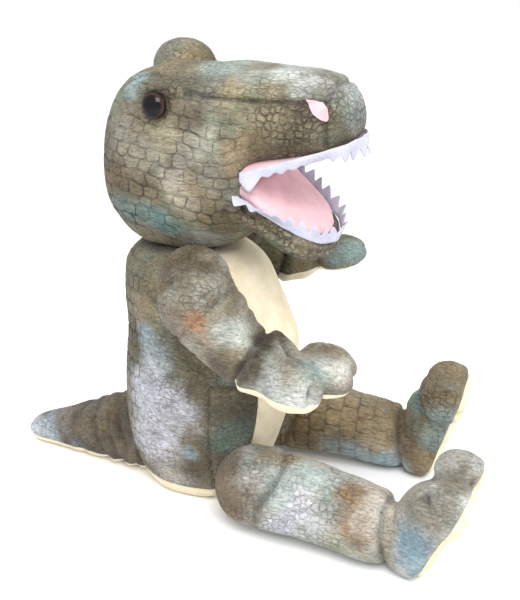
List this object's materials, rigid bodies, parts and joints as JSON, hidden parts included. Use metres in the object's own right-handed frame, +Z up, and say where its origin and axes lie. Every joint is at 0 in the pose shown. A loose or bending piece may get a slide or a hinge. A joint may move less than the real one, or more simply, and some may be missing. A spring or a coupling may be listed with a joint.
{
  "type": "plush dinosaur",
  "caption": "Seated stuffed toy dinosaur with an open felt-toothed mouth, turning head, and limbs and tail that swing on their sewn joints.",
  "frame": {"origin": "middle of the flat seat face, on the floor that the toy sits on", "axes": "+Z up, -Y the way the toy faces, -X the toy's right side"},
  "size_m": [0.2069, 0.3362, 0.2979],
  "materials": {
    "hide": "short-pile printed plush, olive and brown",
    "dark_hide": "short-pile plush, dark olive brown",
    "blue_hide": "short-pile plush, grey-blue and silver",
    "belly": "cream velour",
    "lining": "pink velour",
    "teeth": "white felt",
    "stuffing": "polyester fibre filling",
    "eye": "moulded glossy safety eye, black pupil with a brown ring",
    "washer": "moulded white backing washer"
  },
  "bodies": {
    "torso": {"belly_panel": "belly", "seat_panel": "belly", "body_side_right": "hide", "body_side_left": "hide", "thigh_gusset_right": "dark_hide", "thigh_gusset_left": "dark_hide", "body_stuffing": "stuffing"},
    "head": {"muzzle_panel": "hide", "crown_panel": "hide", "cheek_right": "hide", "cheek_left": "hide", "upper_mouth_lining": "lining", "head_stuffing": "stuffing", "upper_teeth": "teeth", "brow_right": "dark_hide", "brow_left": "dark_hide", "eye_right": "eye", "eye_left": "eye", "eye_washer_right": "washer", "eye_washer_left": "washer", "nostril_right": "lining", "nostril_left": "lining"},
    "jaw": {"lower_jaw_cover": "hide", "lower_mouth_lining": "lining", "jaw_stuffing": "stuffing", "lower_teeth": "teeth"},
    "tail": {"tail_cover": "hide", "tail_underside": "belly", "tail_stuffing": "stuffing"},
    "right_arm": {"shoulder_cap_right": "dark_hide", "arm_cover_right": "hide", "arm_stuffing_right": "stuffing", "hand_back_right": "blue_hide", "palm_right": "belly"},
    "right_leg": {"leg_cover_right": "hide", "leg_stuffing_right": "stuffing", "foot_upper_right": "blue_hide", "sole_right": "belly", "foot_stuffing_right": "stuffing"},
    "left_arm": {"shoulder_cap_left": "dark_hide", "arm_cover_left": "hide", "arm_stuffing_left": "stuffing", "hand_back_left": "blue_hide", "palm_left": "belly"},
    "left_leg": {"leg_cover_left": "hide", "leg_stuffing_left": "stuffing", "foot_upper_left": "blue_hide", "sole_left": "belly", "foot_stuffing_left": "stuffing"}
  },
  "joints": [
    {"name": "neck_turn", "type": "hinge", "parent": "torso", "child": "head", "pos_m": [0, -0.002, 0.173], "axis": [0, 0, 1], "range_deg": [-30, 30], "stiffness_Nm_per_rad": 0.05},
    {"name": "jaw_open", "type": "hinge", "parent": "head", "child": "jaw", "pos_m": [-0.00436, -0.05181, 0.212], "axis": [0.9962, -0.0872, 0], "range_deg": [-24, 5], "stiffness_Nm_per_rad": 0.03},
    {"name": "right_shoulder", "type": "hinge", "parent": "torso", "child": "right_arm", "pos_m": [-0.0606, -0.022, 0.164], "axis": [-1, 0, 0], "range_deg": [-15, 44], "stiffness_Nm_per_rad": 0.06},
    {"name": "left_shoulder", "type": "hinge", "parent": "torso", "child": "left_arm", "pos_m": [0.0606, 0.006, 0.164], "axis": [-1, 0, 0], "range_deg": [-15, 44], "stiffness_Nm_per_rad": 0.06},
    {"name": "right_hip", "type": "hinge", "parent": "torso", "child": "right_leg", "pos_m": [-0.047, -0.052, 0.03], "axis": [-1, 0, 0], "range_deg": [0, 20], "stiffness_Nm_per_rad": 0.08},
    {"name": "left_hip", "type": "hinge", "parent": "torso", "child": "left_leg", "pos_m": [0.047, -0.041, 0.03], "axis": [-1, 0, 0], "range_deg": [0, 11], "stiffness_Nm_per_rad": 0.08},
    {"name": "tail_wag", "type": "hinge", "parent": "torso", "child": "tail", "pos_m": [0, 0.033, 0.029], "axis": [0, 0, 1], "range_deg": [-20, 20], "stiffness_Nm_per_rad": 0.05}
  ]
}
